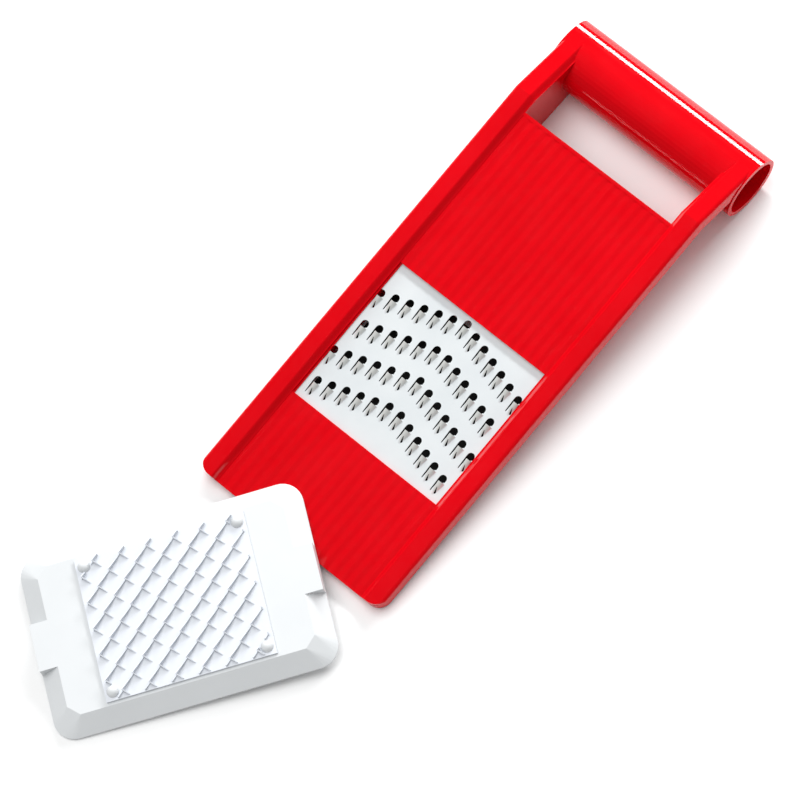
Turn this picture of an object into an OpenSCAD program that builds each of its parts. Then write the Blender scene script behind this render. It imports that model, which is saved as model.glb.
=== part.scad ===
// Julienne grater with a ribbed runway, a toothed steel plate, a hollow roll
// handle and a separate food holder that carries a plate of sharp fins.
// The grater lies on its two side webs. The holder lies upside down beside it,
// with one corner of its rim leaning on the grater's front panel.
// Inside the frame modules, y runs from the front edge towards the handle
// and z is 0 on the crests of the ribbed panels.

/* [Grater frame] */
// Width over the two side rails
frame_w = 129.6; // [118:1:140]
// Clear width of the runway between the rails
channel_w = 103; // [96:1:106]
// Length of the ribbed panel in front of the blade
front_panel_l = 62; // [45:0.5:80]
// Length of the ribbed panel between the blade and the finger opening
rear_panel_l = 103; // [80:0.5:120]
// Length of the finger opening
finger_gap_l = 25.5; // [22:0.5:34]
// Wall of the moulded frame
frame_wall = 2.4; // [2:0.1:3]
// Height of the rail tops above the rib crests
rail_rise = 3; // [2:0.1:5]
// Run of the sloping inner flank of a rail
rail_flank = 3.6; // [2.5:0.1:5]
// Depth of the outer skirt below the rib crests
skirt_drop = 4.8; // [4.4:0.1:7]
// Radius of the outer top edge of a rail
rail_edge_r = 2.4; // [1.5:0.1:3]
// Corner radius of the frame at its front end, seen from above
front_corner_r = 8; // [5:0.5:12]
// Thickness of the webs that stand below the rails
web_t = 2.4; // [2:0.1:3]

/* [Ribs] */
// Distance from one rib crest to the next
rib_pitch = 6.15; // [4:0.05:8]
// Depth of the valleys between the ribs
rib_depth = 0.35; // [0.2:0.05:0.8]
// Width of the plain border at the finger opening
border_l = 2; // [1:0.5:4]

/* [Handle] */
// Size of the roll handle from front to back
handle_l = 37; // [30:0.5:40]
// Height of the roll handle
handle_h = 25; // [20:0.2:28]
// Wall of the roll handle
handle_wall = 2.6; // [2:0.1:3.5]
// Depth of the handle's underside below the rib crests
handle_drop = 32.8; // [29:0.2:36]
// How far each end of the handle stands out beyond the rails
handle_out = 0.5; // [0:0.1:2]
// Length of rail that slopes down beside the finger opening
arm_lead = 17; // [10:0.5:20]

/* [Blade plate] */
// Length of the window that shows the blade
window_l = 88.5; // [80:0.5:100]
// Side margin of the window inside the runway
window_side = 1; // [0.5:0.1:3]
// Depth of the blade's upper face below the rib crests
blade_drop = 1.9; // [1.5:0.1:2.4]
// Thickness of the sheet steel
sheet_t = 0.5; // [0.4:0.05:0.8]
// Width of the edge of the plate that the moulding grips
grip_w = 2.6; // [2:0.1:3.5]
// Thickness of the ledge below the plate
ledge_t = 1.6; // [1.2:0.1:2]
// Number of teeth in the long rows
teeth_n = 13; // [9:2:15]
// Number of rows of teeth
rows_n = 4; // [3:1:5]
// Distance between neighbouring teeth
tooth_pitch = 8.1; // [7:0.1:8.3]
// Distance from one row to the next
row_pitch = 19.3; // [16:0.1:20]
// How far the middle of a row stands closer to the handle than its ends
row_rise = 15; // [10:0.5:17]
// Distance from the window's rear edge to the middle tooth's cutting edge
first_row = 5.2; // [4.5:0.1:8]
// Width of the opening punched for a tooth
tooth_w = 4.4; // [4:0.1:5]
// Length of a tooth's raised tongue
tooth_l = 8; // [7:0.1:10]
// Height of a tooth's cutting edge above the plate
tooth_h = 1.6; // [1.2:0.1:2.2]
// Length of the open mouth ahead of the cutting edge
mouth_l = 3.4; // [2.4:0.1:4]
// Width of the slit beside a tooth
slit_w = 1.2; // [0.8:0.05:1.4]
// How far the rows of teeth stand left of the middle
teeth_left = 0.5; // [0:0.1:1]
// Depth of the stiffening wall below the edge of the finger opening
brace_h = 6; // [4:0.5:9]

/* [Food holder] */
// Length of the holder's rim
holder_l = 155; // [145:1:165]
// Width of the holder's rim
holder_w = 104.5; // [98:0.5:110]
// Height of the holder's shell
holder_h = 8.2; // [7:0.1:10]
// Horizontal run of the sloping walls
holder_run = 10; // [8:0.5:12]
// Corner radius of the rim
rim_r = 12; // [10:0.5:14]
// Leg of the cut corners of the flat top
top_cut = 6; // [4:0.5:8]
// Height of the upright edge at the rim
rim_edge = 1.2; // [0.8:0.1:2]
// Wall of the holder
holder_wall = 2.2; // [1.8:0.1:2.6]
// Width of the flat tab in the middle of each short end
tab_w = 26.5; // [20:0.5:32]

/* [Spike plate] */
// Length of the spike plate along the holder
plate_l = 93; // [90:0.5:100]
// Width of the spike plate across the holder
plate_w = 81; // [78:0.5:83]
// Thickness of the spike plate
plate_t = 1.2; // [1:0.1:2]
// Half the distance between spikes in a row, and from row to row
spike_step = 7.35; // [6.5:0.05:8]
// Height of the spikes above their plate
spike_h = 3.4; // [2.5:0.1:8]
// Height of a long fin at its low end
fin_low = 0.4; // [0.3:0.1:1]
// Share of the way to the next spike that a short fin takes to run out
fin_short = 0.55; // [0.4:0.05:0.8]
// Thickness of a fin
fin_t = 0.5; // [0.4:0.05:1.2]
// Number of spike rows
spike_rows = 11; // [9:2:11]
// Distance from the ends of the spike plate to the pins
pin_inset_l = 4.5; // [4:0.1:6]
// Distance from the sides of the spike plate to the pins
pin_inset_w = 5; // [4:0.1:6]
// Diameter of a pin's domed head
pin_head_d = 7; // [6:0.1:8]
// Height of a pin's head
pin_head_h = 2.6; // [2:0.1:3.5]
// Diameter of a pin's shank
pin_d = 3.6; // [3:0.1:4]
// Diameter of the flared foot that holds a pin inside the tray
pin_foot_d = 6; // [5:0.1:7]
// Thickness of a pin's foot
pin_foot_t = 1.2; // [0.8:0.1:1.5]
// Clearance round a pin's shank
pin_gap = 0.05; // [0.03:0.01:0.1]

/* [Placing] */
// Turn of the holder on the table
holder_turn = 55; // [50:1:60]
// Middle of the holder, left of the grater's middle line
holder_left = 18.6; // [15:0.1:25]
// Middle of the holder, in front of the grater's front edge
holder_ahead = 66.3; // [62:0.1:70]
// Gap left where the holder leans on the grater
lean_gap = 0.3; // [0.2:0.05:0.5]

/* [Hidden] */
$fn = 48;

eps = 0.01;
far = 400;
red = [0.83, 0.02, 0.06];
steel = [0.82, 0.84, 0.85];
white = [0.93, 0.94, 0.95];

// Stations along the grater
window_y0 = front_panel_l;
window_y1 = window_y0 + window_l;
gap_y0 = window_y1 + rear_panel_l;
gap_y1 = gap_y0 + finger_gap_l;
handle_y0 = gap_y1 - 1;
handle_yc = handle_y0 + handle_l / 2;
handle_zc = -handle_drop + handle_h / 2;
arm_y0 = gap_y1 - arm_lead;
rail_x0 = channel_w / 2;
rail_x1 = frame_w / 2;
handle_w = frame_w + 2 * handle_out;

// The grater leans back on its front skirt and its handle
incline = atan((handle_drop - skirt_drop) / handle_yc);

// The holder leans on the front panel with the far corner of its rim
reach_x = (holder_l / 2 - rim_r) * cos(holder_turn) + (holder_w / 2 - rim_r) * sin(holder_turn) + rim_r;
reach_y = (holder_l / 2 - rim_r) * sin(holder_turn) + (holder_w / 2 - rim_r) * cos(holder_turn) + rim_r;
lean_y = reach_y - holder_ahead;
lean_z = (skirt_drop + lean_y * sin(incline)) / cos(incline) + lean_gap;
lean = asin(lean_z / (2 * reach_y));

// Middle of the box round everything, which becomes the origin
box_x0 = min(-handle_w / 2, -holder_left - reach_x);
box_x1 = max(handle_w / 2, -holder_left + reach_x);
box_y0 = -holder_ahead - reach_y * cos(lean) - rim_edge * sin(lean);
box_y1 = handle_yc * cos(incline) - (handle_zc + skirt_drop) * sin(incline)
    + norm([handle_l / 2 * cos(incline), handle_h / 2 * sin(incline)]);
box_cx = (box_x0 + box_x1) / 2;
box_cy = (box_y0 + box_y1) / 2;

// Smooth step from 0 to 1
function ease(t) = t <= 0 ? 0 : t >= 1 ? 1 : t * t * (3 - 2 * t);

// Height of a rib section at x
function rib_z(x) = -rib_depth * (1 - cos(360 * x / rib_pitch)) / 2;

// Upper line of a rail from its foot to its rounded outer edge
function rail_top() = concat(
    [for (i = [0:8]) [rail_x0 + rail_flank * i / 8, rail_rise * ease(i / 8)]],
    [for (a = [90:-15:0]) [rail_x1 - rail_edge_r + rail_edge_r * cos(a),
                           rail_rise - rail_edge_r + rail_edge_r * sin(a)]]);

// The arms leave the rails and touch the back of the handle's oval as tangents
arm_run = handle_yc - arm_y0;
arm_fall = rail_rise - handle_zc;
arm_k = pow(arm_run, 2) - pow(handle_l / 2, 2);
arm_slope = (arm_fall * arm_run
    - sqrt(pow(arm_fall * arm_run, 2) - arm_k * (pow(arm_fall, 2) - pow(handle_h / 2, 2)))) / arm_k;
arm_tilt = atan(arm_slope);
arm_end_y = handle_yc + pow(handle_l / 2, 2) * arm_slope / (arm_fall - arm_slope * arm_run);
arm_l = (arm_end_y - arm_y0) / cos(arm_tilt);

// Point of the handle's oval at angle a, drawn in by d
function oval(a, d) = [handle_yc + (handle_l / 2 - d) * cos(a), handle_zc + (handle_h / 2 - d) * sin(a)];

// Middle of tooth i in row r, measured from the window's rear edge
function row_count(r) = teeth_n - r % 2;
function tooth_x(r, i) = (i - (row_count(r) - 1) / 2) * tooth_pitch - teeth_left;
function tooth_y(r, i) = window_y1 - first_row - r * row_pitch
    - row_rise * abs(tooth_x(r, i) + teeth_left) / ((teeth_n - 1) / 2 * tooth_pitch);

// Carries the grater from its own axes to its place on the table
module on_table() {
    translate([-box_cx, -box_cy, 0])
    rotate([incline, 0, 0])
    translate([0, 0, skirt_drop])
    children();
}

// Carries the holder to its place, leaning on the grater
module leaning() {
    translate([-box_cx - holder_left, -box_cy - holder_ahead, reach_y * sin(lean)])
    rotate([lean, 0, 0])
    rotate([0, 0, holder_turn])
    children();
}

// Extrudes an outline drawn in x and z along y
module along_y(y0, y1) {
    translate([0, y1, 0])
    rotate([90, 0, 0])
    linear_extrude(y1 - y0)
    children();
}

// Extrudes an outline drawn in y and z along x
module along_x(x0, x1) {
    translate([x0, 0, 0])
    rotate([90, 0, 90])
    linear_extrude(x1 - x0)
    children();
}

// Both sides of the grater
module both_sides() {
    children();
    mirror([1, 0, 0]) children();
}

// Corrugated panel from y0 to y1
module ribbed_panel(y0, y1) {
    n = round(channel_w / rib_pitch * 8);
    along_y(y0, y1)
    polygon(concat(
        [for (i = [0:n]) let (x = -channel_w / 2 + channel_w * i / n) [x, rib_z(x)]],
        [[channel_w / 2, -frame_wall], [-channel_w / 2, -frame_wall]]));
}

// Cross-section of a rail with its skirt
module rail_section() {
    top = rail_top();
    polygon(concat(top,
        [[rail_x1, -skirt_drop],
         [rail_x1 - frame_wall, -skirt_drop],
         [rail_x1 - frame_wall, rail_rise - frame_wall],
         [rail_x0 + rail_flank, rail_rise - frame_wall],
         [rail_x0, -frame_wall]]));
}

// Tilts something so that it slopes down with the arms
module sloping() {
    translate([0, arm_y0, rail_rise])
    rotate([-arm_tilt, 0, 0])
    translate([0, 0, -rail_rise])
    children();
}

// Window through the runway
module blade_window() {
    x0 = channel_w / 2 - window_side;
    translate([-x0, window_y0, -far / 2]) cube([2 * x0, window_l, far]);
}

// Thicker border of the window, with the ledge below the blade plate
module seat_rim() {
    x0 = channel_w / 2;
    z0 = -blade_drop - sheet_t - ledge_t;
    translate([-x0, window_y0 - 2 * grip_w, z0])
    cube([2 * x0, window_l + 4 * grip_w, -z0 - frame_wall / 2]);
}

// Steel plate before punching, with the border that the moulding grips
module plate_blank() {
    x0 = channel_w / 2 - window_side + grip_w;
    translate([-x0, window_y0 - grip_w, -blade_drop - sheet_t])
    cube([2 * x0, window_l + 2 * grip_w, sheet_t]);
}

// Outline of the handle's oval tube, drawn in by d
module handle_outline(d) {
    polygon([for (a = [0:7.5:352.5]) oval(a, d)]);
}

// Seen from above: rounded front corners
module plan_outline() {
    linear_extrude(far, center = true)
    union() {
        translate([-handle_w / 2, front_corner_r]) square([handle_w, far - front_corner_r]);
        translate([-rail_x1 + front_corner_r, 0]) square([frame_w - 2 * front_corner_r, front_corner_r + 1]);
        for (s = [-1, 1])
        translate([s * (rail_x1 - front_corner_r), front_corner_r]) circle(front_corner_r);
    }
}

module frame_solids() {
    ribbed_panel(0, window_y0 + eps);
    ribbed_panel(window_y1 - eps, gap_y0);
    translate([-channel_w / 2, gap_y0 - border_l, -frame_wall])
    cube([channel_w, border_l, frame_wall]);
    seat_rim();
    // Stiffening wall below the edge of the finger opening
    translate([-channel_w / 2, gap_y0 - border_l, -brace_h])
    cube([channel_w, border_l, brace_h - frame_wall / 2]);
    translate([-rail_x1, 0, -skirt_drop - 2])
    cube([frame_w, frame_wall, skirt_drop + 2 - rib_depth]);
    both_sides() {
        along_y(0, arm_y0 + eps) rail_section();
        sloping() along_y(-eps, arm_l) rail_section();
        // The web runs from the front skirt to the handle
        along_x(rail_x0, rail_x0 + web_t)
        polygon([[0, -frame_wall / 2], [arm_y0, -frame_wall / 2],
            [handle_yc, handle_zc + handle_h / 2 - handle_wall / 2],
            [handle_yc, -handle_drop - 2], [0, -skirt_drop - 2]]);
    }
    along_x(-handle_w / 2, handle_w / 2) handle_outline(0);
}

module grater_frame() {
    color(red)
    on_table()
    difference() {
        intersection() {
            frame_solids();
            plan_outline();
        }
        blade_window();
        plate_blank();
        // Hollow of the handle, open at both ends
        along_x(-far / 2, far / 2) handle_outline(handle_wall);
        // Table plane
        translate([0, 0, -skirt_drop])
        rotate([-incline, 0, 0])
        translate([-far, -far, -far]) cube([2 * far, 3 * far, far]);
    }
}

// Places something at every tooth, with the cutting edge at y = 0
module at_teeth() {
    for (r = [0:rows_n - 1], i = [0:row_count(r) - 1])
    translate([tooth_x(r, i), tooth_y(r, i), -blade_drop])
    children();
}

// Round bar that sinks from the cutting edge to the tooth's root
tooth_r = tooth_w / 2 + 0.2;
tooth_rise = atan(tooth_h / tooth_l);
module tooth_bar(r, ahead) {
    translate([0.6, -tooth_r * sin(tooth_rise), tooth_h - tooth_r])
    rotate([90 + tooth_rise, 0, 0])
    translate([0, 0, -ahead])
    cylinder(r = r, h = tooth_l + 2 * ahead, $fn = 32);
}

// Everything punched out of the sheet for one tooth: mouth, left slit and root hole
module tooth_punch() {
    r = tooth_w / 2;
    translate([0, mouth_l - r, -1]) cylinder(r = r, h = 2, $fn = 32);
    translate([0, 0, -1])
    linear_extrude(2)
    polygon([[-r, mouth_l - r], [-r, 0], [slit_w * 0.3 - r, -0.9 * tooth_l],
        [slit_w * 0.55 - r, -0.96 * tooth_l], [slit_w * 0.75 - r, -0.9 * tooth_l],
        [slit_w - r, 0], [r, 0], [r, mouth_l - r]]);
    tooth_bar(tooth_r - sheet_t, 0);
}

// Drop-shaped hole beside the tooth's root, cut through the tongue
module root_hole() {
    translate([0.64, 0, -1])
    linear_extrude(far)
    polygon([[-0.15, -0.49 * tooth_l], [0.1, -0.48 * tooth_l], [1.4, -0.86 * tooth_l],
        [1.1, -0.95 * tooth_l], [0.4, -0.96 * tooth_l], [0.2, -0.82 * tooth_l]]);
}

module blade_plate() {
    clear_x = channel_w / 2 - window_side - 0.3;
    color(steel)
    on_table()
    union() {
        difference() {
            plate_blank();
            at_teeth() {
                tooth_punch();
                root_hole();
            }
        }
        intersection() {
            translate([-clear_x, window_y0 + 0.3, -blade_drop - sheet_t])
            cube([2 * clear_x, window_l - 0.6, far]);
            at_teeth()
            difference() {
                tooth_bar(tooth_r, 0);
                tooth_bar(tooth_r - sheet_t, 1);
                translate([-far, -far / 2, -far / 2]) cube([far + slit_w - tooth_w / 2, far, far]);
                root_hole();
            }
        }
    }
}

// Flat plate with rounded corners
module rounded_plate(l, w, r, t) {
    for (x = [-1, 1], y = [-1, 1])
    translate([x * (l / 2 - r), y * (w / 2 - r), 0])
    cylinder(r = r, h = t, $fn = 32);
}

// Flat top of the tray with its corners cut off, drawn in by d
module tray_top(d) {
    x = holder_l / 2 - holder_run - 0.6 * d;
    y = holder_w / 2 - holder_run - 0.6 * d;
    c = top_cut;
    translate([0, 0, holder_h - 1 - d])
    linear_extrude(1)
    polygon([[x - c, y], [c - x, y], [-x, y - c], [-x, c - y],
        [c - x, -y], [x - c, -y], [x, c - y], [x, y - c]]);
}

// Solid bounded by the rim below and the flat top above, drawn in by d
module tray_form(d) {
    hull() {
        translate([0, 0, -d]) rounded_plate(holder_l - 2 * d, holder_w - 2 * d, rim_r - d, rim_edge);
        tray_top(d);
    }
}

module tray_tabs(d) {
    translate([-holder_l / 2 + d, -tab_w / 2 + d, -d])
    cube([holder_l - 2 * d, tab_w - 2 * d, holder_h]);
}

// Places something at each of the four pins
module at_pins() {
    for (x = [-1, 1], y = [-1, 1])
    translate([x * (plate_l / 2 - pin_inset_l), y * (plate_w / 2 - pin_inset_w), 0])
    children();
}

module holder_tray() {
    color(white)
    leaning()
    difference() {
        union() {
            tray_form(0);
            tray_tabs(0);
        }
        tray_form(holder_wall);
        tray_tabs(holder_wall);
        at_pins() cylinder(d = pin_d + 2 * pin_gap, h = far, center = true);
    }
}

// Row of fins: each stands upright at a spike and falls to the height low over the share run of a step
module saw_fin(n, run, low) {
    step = spike_step * sqrt(2);
    translate([0, fin_t / 2, 0])
    rotate([90, 0, 0])
    linear_extrude(fin_t)
    polygon([[-n * step, -eps],
        for (i = [-n:n - 1]) each [[i * step, low], [i * step, spike_h], [(i + run) * step, low]],
        [n * step, low], [n * step, -eps]]);
}

module spike_plate() {
    half = (spike_rows - 1) / 2;
    color(white)
    leaning()
    translate([0, 0, holder_h])
    difference() {
        union() {
            translate([-plate_l / 2, -plate_w / 2, 0]) cube([plate_l, plate_w, plate_t]);
            intersection() {
                translate([-plate_l / 2 + 2, -(half + 0.4) * spike_step, 0])
                cube([plate_l - 4, (2 * half + 0.8) * spike_step, far]);
                for (k = [-half:half]) {
                    translate([k * 2 * spike_step, 0, plate_t]) rotate([0, 0, 45]) saw_fin(8, 1, fin_low);
                    translate([k * 2 * spike_step, 0, plate_t]) rotate([0, 0, -45]) saw_fin(8, fin_short, 0);
                }
            }
        }
        at_pins() {
            translate([0, 0, plate_t]) cylinder(d = pin_head_d + 1, h = far);
            cylinder(d = pin_d + 2 * pin_gap, h = far, center = true);
        }
    }
}

// Four pins that rivet the spike plate to the tray
module spike_plate_pins() {
    foot_z = holder_h - holder_wall - pin_foot_t;
    head_z = holder_h + plate_t;
    ball_r = (pow(pin_head_d / 2, 2) + pow(pin_head_h, 2)) / (2 * pin_head_h);
    color(white)
    leaning()
    at_pins() {
        translate([0, 0, foot_z]) cylinder(d = pin_foot_d, h = pin_foot_t);
        translate([0, 0, foot_z]) cylinder(d = pin_d, h = head_z - foot_z + 0.5);
        translate([0, 0, head_z])
        intersection() {
            cylinder(d = pin_head_d, h = pin_head_h);
            translate([0, 0, pin_head_h - ball_r]) sphere(r = ball_r);
        }
    }
}

grater_frame();
blade_plate();
holder_tray();
spike_plate();
spike_plate_pins();
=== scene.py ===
"""Looks of a julienne grater with its loose food holder."""

import math

import bpy
from mathutils import Matrix, Vector


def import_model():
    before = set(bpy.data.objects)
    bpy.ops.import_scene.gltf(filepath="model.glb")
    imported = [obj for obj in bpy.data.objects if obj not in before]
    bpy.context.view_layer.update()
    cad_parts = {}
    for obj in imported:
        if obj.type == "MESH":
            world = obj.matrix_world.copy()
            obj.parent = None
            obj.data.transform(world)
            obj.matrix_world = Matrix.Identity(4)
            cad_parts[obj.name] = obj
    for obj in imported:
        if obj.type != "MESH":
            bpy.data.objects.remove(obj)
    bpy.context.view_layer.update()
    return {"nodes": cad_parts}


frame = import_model()
scene = bpy.context.scene
nodes_of = frame["nodes"]


# Node material helpers

class Mat:
    """One node material, with short calls for the nodes that it needs."""

    def __init__(self, name):
        self.m = bpy.data.materials.new(name)
        self.m.use_nodes = True
        self.t = self.m.node_tree
        self.b = self.t.nodes["Principled BSDF"]

    def put(self, **values):
        """Sets values on the shader's own sockets."""
        for k, v in values.items():
            self.b.inputs[k.replace("_", " ")].default_value = v

    def node(self, kind, **props):
        n = self.t.nodes.new(kind)
        for k, v in props.items():
            setattr(n, k, v)
        return n

    def link(self, a, b):
        self.t.links.new(a, b)

    def coords(self, scale=(1, 1, 1), turn=(0, 0, 0)):
        c = self.node("ShaderNodeTexCoord")
        p = self.node("ShaderNodeMapping")
        p.inputs["Scale"].default_value = scale
        p.inputs["Rotation"].default_value = turn
        self.link(c.outputs["Object"], p.inputs["Vector"])
        return p.outputs["Vector"]

    def noise(self, vec, scale, detail=3.0, rough=0.5):
        n = self.node("ShaderNodeTexNoise")
        n.inputs["Scale"].default_value = scale
        n.inputs["Detail"].default_value = detail
        n.inputs["Roughness"].default_value = rough
        self.link(vec, n.inputs["Vector"])
        return n.outputs["Fac"]

    def ramp(self, fac, stops):
        r = self.node("ShaderNodeValToRGB")
        e = r.color_ramp.elements
        while len(e) < len(stops):
            e.new(0.5)
        for el, (pos, col) in zip(e, stops):
            el.position = pos
            el.color = (*col, 1) if len(col) == 3 else col
        self.link(fac, r.inputs["Fac"])
        return r.outputs["Color"]

    def span(self, fac, lo, hi, a=0.3, b=0.7):
        r = self.node("ShaderNodeMapRange")
        r.inputs["From Min"].default_value = a
        r.inputs["From Max"].default_value = b
        r.inputs["To Min"].default_value = lo
        r.inputs["To Max"].default_value = hi
        self.link(fac, r.inputs["Value"])
        return r.outputs["Result"]

    def bump(self, height, strength, distance, under=None):
        n = self.node("ShaderNodeBump")
        n.inputs["Strength"].default_value = strength
        n.inputs["Distance"].default_value = distance
        self.link(height, n.inputs["Height"])
        if under is not None:
            self.link(under, n.inputs["Normal"])
        return n.outputs["Normal"]


# Slope of the grater's runway, and a point on the upper face of the steel plate
INCLINE = math.radians(5.3947)
PLATE_TOP = (0.0179, -0.0188, 0.0087)
# Patch of painted shade on the floor below the teeth, across and along the grater
UNDER_X = (-0.032, 0.068)
UNDER_Y = (-0.016, 0.068)


def height_over(m, point, normal):
    """Signed height over the plane through point, in millimetres: (p - point) . normal * 1000."""
    c = m.node("ShaderNodeTexCoord")
    sub = m.node("ShaderNodeVectorMath", operation="SUBTRACT")
    sub.inputs[1].default_value = point
    m.link(c.outputs["Object"], sub.inputs[0])
    dot = m.node("ShaderNodeVectorMath", operation="DOT_PRODUCT")
    dot.inputs[1].default_value = [1000 * k for k in normal]
    m.link(sub.outputs["Vector"], dot.inputs[0])
    return dot.outputs["Value"]


def facing(m, way):
    """Dot product of the surface's normal with a direction."""
    g = m.node("ShaderNodeNewGeometry")
    dot = m.node("ShaderNodeVectorMath", operation="DOT_PRODUCT")
    dot.inputs[1].default_value = way
    m.link(g.outputs["Normal"], dot.inputs[0])
    return dot.outputs["Value"]


def times(m, col, other):
    """Product of two colours."""
    x = m.node("ShaderNodeMix", data_type="RGBA", blend_type="MULTIPLY")
    x.inputs["Factor"].default_value = 1.0
    m.link(col, x.inputs["A"])
    m.link(other, x.inputs["B"])
    return x.outputs["Result"]


def red_plastic():
    """Glossy red moulding: slight flow marks in colour and gloss, a fine skin and hairline scratches."""
    m = Mat("red_plastic")
    m.put(Specular_IOR_Level=0.5, IOR=1.49)
    v = m.coords()
    flow = m.noise(v, 22, 4, 0.55)
    col = m.ramp(flow, [(0.3, (0.62, 0.0012, 0.0050)), (0.7, (0.68, 0.0016, 0.0066))])
    m.link(col, m.b.inputs["Base Color"])
    m.link(m.span(m.noise(v, 70, 4, 0.6), 0.05, 0.10), m.b.inputs["Roughness"])
    skin = m.bump(m.noise(v, 500, 2, 0.5), 0.03, 0.0001)
    hair = m.noise(m.coords((2200, 60, 2200), (0, 0, 0.12)), 1.0, 2, 0.5)
    m.link(m.bump(hair, 0.02, 0.0001, skin), m.b.inputs["Normal"])
    return m.m


def steel():
    """Satin sheet steel with rolling lines; painted shade makes the tongues a little warmer and darker, and makes
    what lies below the sheet dark.
    """
    m = Mat("sheet_steel")
    m.put(Metallic=0.25, Specular_IOR_Level=0.4)
    lines = m.noise(m.coords((90, 3500, 90)), 1.0, 3, 0.6)
    cloud = m.noise(m.coords(), 45, 3, 0.5)
    col = m.ramp(cloud, [(0.3, (0.80, 0.845, 0.865)), (0.7, (0.86, 0.90, 0.915))])
    # Painted shade by height over the sheet: black below it, so the mouths look into shade, and a darker, warmer tint
    # on the raised tongues.
    up = height_over(m, PLATE_TOP, (0, -math.sin(INCLINE), math.cos(INCLINE)))
    painted_shade_by_height = m.ramp(m.span(up, 0, 1, -1.0, 2.0),
                  [(0.24, (0.02, 0.02, 0.02)), (0.31, (1, 1, 1)),
                   (0.38, (1, 1, 1)), (0.5, (0.84, 0.82, 0.78))])
    m.link(times(m, col, painted_shade_by_height), m.b.inputs["Base Color"])
    m.link(m.span(lines, 0.34, 0.48), m.b.inputs["Roughness"])
    m.link(m.bump(lines, 0.08, 0.0001), m.b.inputs["Normal"])
    return m.m


def white_plastic(name, light, dark, rough, side=1.0):
    """White moulding: faint clouding, a soft gloss that varies, a fine skin, and painted shade that makes the sloping
    walls greyer; side sets how grey the steepest walls are painted.
    """
    m = Mat(name)
    m.put(Specular_IOR_Level=0.3, IOR=1.5)
    v = m.coords()
    col = m.ramp(m.noise(v, 30, 4, 0.55), [(0.3, dark), (0.7, light)])
    # Painted shade: walls that tilt away from straight up are painted greyer in place of the light they lose.
    painted_wall_shade = m.ramp(facing(m, (0, 0, 1)), [(0.6, (side, side, side)), (0.97, (1, 1, 1))])
    m.link(times(m, col, painted_wall_shade), m.b.inputs["Base Color"])
    m.link(m.span(m.noise(v, 90, 3, 0.6), rough - 0.06, rough + 0.06), m.b.inputs["Roughness"])
    m.link(m.bump(m.noise(v, 700, 2, 0.5), 0.05, 0.0002), m.b.inputs["Normal"])
    return m.m


def dress(node, mat):
    """Gives one CAD node its material."""
    o = nodes_of[node]
    o.data.materials.clear()
    o.data.materials.append(mat)


dress("grater_frame", red_plastic())
dress("blade_plate", steel())
# The last number in each call is the painted shade on the sloping walls.
dress("holder_tray",
      white_plastic("tray_white", (0.80, 0.825, 0.84), (0.77, 0.795, 0.81), 0.38, 0.80))
dress("spike_plate",
      white_plastic("spike_white", (0.83, 0.865, 0.92), (0.81, 0.845, 0.90), 0.32, 0.75))
dress("spike_plate_pins",
      white_plastic("pin_white", (0.82, 0.845, 0.86), (0.79, 0.815, 0.83), 0.3, 0.85))


# Floor, light and camera

def inside(m, way, lo, hi):
    """1 where the coordinate along way lies between lo and hi, else 0."""
    c = m.node("ShaderNodeTexCoord")
    dot = m.node("ShaderNodeVectorMath", operation="DOT_PRODUCT")
    dot.inputs[1].default_value = way
    m.link(c.outputs["Object"], dot.inputs[0])
    cmp = m.node("ShaderNodeMath", operation="COMPARE")
    cmp.inputs[1].default_value = (lo + hi) / 2
    cmp.inputs[2].default_value = (hi - lo) / 2
    m.link(dot.outputs["Value"], cmp.inputs[0])
    return cmp.outputs[0]


def floor():
    """A flat sheet of pale paper, far larger than the view, with a patch of painted deep shade below the teeth."""
    me = bpy.data.meshes.new("floor")
    s = 6.0
    me.from_pydata([(-s, -s, 0), (s, -s, 0), (s, s, 0), (-s, s, 0)], [], [(0, 1, 2, 3)])
    o = bpy.data.objects.new("floor", me)
    scene.collection.objects.link(o)
    m = Mat("floor_paper")
    m.put(Roughness=0.95, Specular_IOR_Level=0.0)
    col = m.ramp(m.noise(m.coords(), 3.0, 2, 0.5), [(0.3, (0.975, 0.98, 0.98)), (0.7, (0.985, 0.99, 0.99))])
    # Painted deep shade on the floor patch that only shows through the teeth's mouths
    shade = [inside(m, (1, 0, 0), *UNDER_X), inside(m, (0, 1, 0), *UNDER_Y)]
    both = m.node("ShaderNodeMath", operation="MULTIPLY")
    m.link(shade[0], both.inputs[0])
    m.link(shade[1], both.inputs[1])
    painted_shade_tone = m.ramp(both.outputs[0], [(0.0, (1, 1, 1)), (1.0, (0.03, 0.03, 0.03))])
    m.link(times(m, col, painted_shade_tone), m.b.inputs["Base Color"])
    me.materials.append(m.m)


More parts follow.
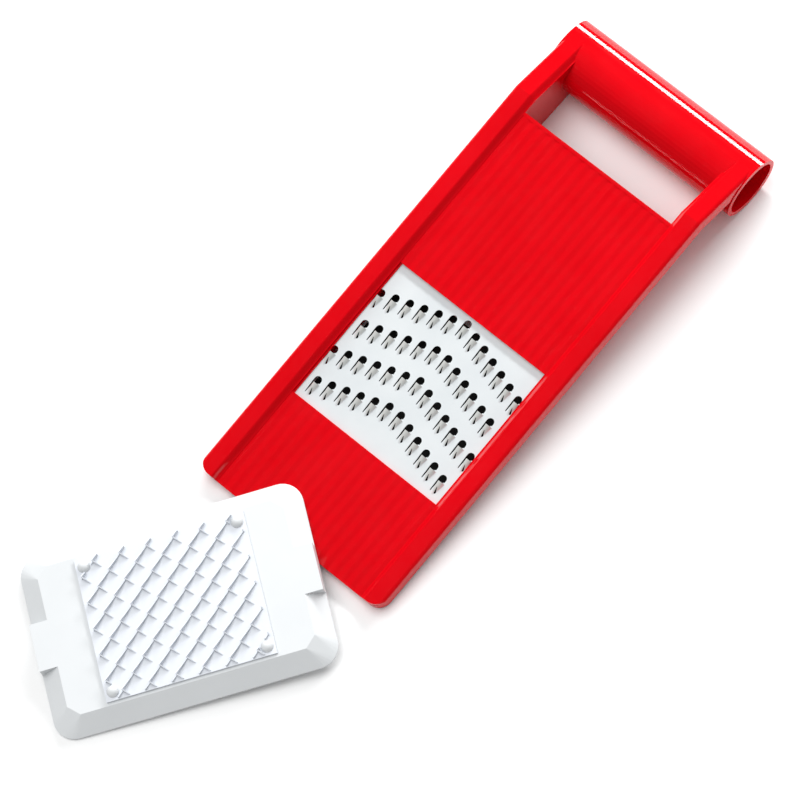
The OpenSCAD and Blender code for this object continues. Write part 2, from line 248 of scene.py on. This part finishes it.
def world(ambient, glossy):
    """White for the camera, a grey dome for diffuse light and a darker one for reflections."""
    w = bpy.data.worlds.new("studio")
    scene.world = w
    w.use_nodes = True
    t = w.node_tree
    t.nodes.clear()
    out = t.nodes.new("ShaderNodeOutputWorld")
    path = t.nodes.new("ShaderNodeLightPath")

    def back(v):
        n = t.nodes.new("ShaderNodeBackground")
        n.inputs["Color"].default_value = (1, 1, 1, 1)
        n.inputs["Strength"].default_value = v
        return n.outputs[0]

    def mix(fac, a, b):
        n = t.nodes.new("ShaderNodeMixShader")
        t.links.new(fac, n.inputs[0])
        t.links.new(a, n.inputs[1])
        t.links.new(b, n.inputs[2])
        return n.outputs[0]

    s = mix(path.outputs["Is Glossy Ray"], back(ambient), back(glossy))
    s = mix(path.outputs["Is Camera Ray"], s, back(1.0))
    t.links.new(s, out.inputs["Surface"])


def sun(name, direction, strength, angle):
    """A distant lamp that shines from the given direction."""
    d = bpy.data.lights.new(name, "SUN")
    d.energy = strength
    d.angle = angle
    o = bpy.data.objects.new(name, d)
    scene.collection.objects.link(o)
    o.rotation_euler = Vector(direction).normalized().to_track_quat("Z", "Y").to_euler()
    o.visible_glossy = False
    return o


def area(name, at, look, size, power):
    """A soft box at a point, facing another point, with its long side along x."""
    d = bpy.data.lights.new(name, "AREA")
    d.shape = "RECTANGLE"
    d.size, d.size_y = size
    d.energy = power
    o = bpy.data.objects.new(name, d)
    scene.collection.objects.link(o)
    z = (Vector(at) - Vector(look)).normalized()
    x = Vector((1, 0, 0))
    x = (x - z * x.dot(z)).normalized()
    y = z.cross(x)
    o.matrix_world = Matrix.Translation(at) @ Matrix((x, y, z)).transposed().to_4x4()
    return o


floor()
world(0.50, 0.03)
sun("key", (-0.42, 0.05, 0.91), 1.55, 0.9)
tube = Vector((0.018, 0.2275, 0.0224))
strip_way = Vector((-0.357, 0.81, 0.465)).normalized()
area("strip", tube + strip_way * 1.2, tube, (1.5, 0.16), 22.0)

# Camera fitted on the photograph: rows of R are its own x, y and z axes in the row frame
R = ((0.7334501657, 0.6584586419, -0.1687692843),
     (-0.5782383696, 0.7349107092, 0.3543256094),
     (0.3573391140, -0.1622913011, 0.9197664329))
cam_data = bpy.data.cameras.new("camera")
cam_data.sensor_width = 36
cam_data.lens = 7593.16 / 800 * 36
cam_data.clip_start = 0.1
cam_data.clip_end = 30
cam = bpy.data.objects.new("camera", cam_data)
scene.collection.objects.link(cam)
cam.matrix_world = Matrix.Translation((1.434150, -0.631690, 3.663280)) @ Matrix(R).transposed().to_4x4()
scene.camera = cam
scene.view_settings.view_transform = "Standard"
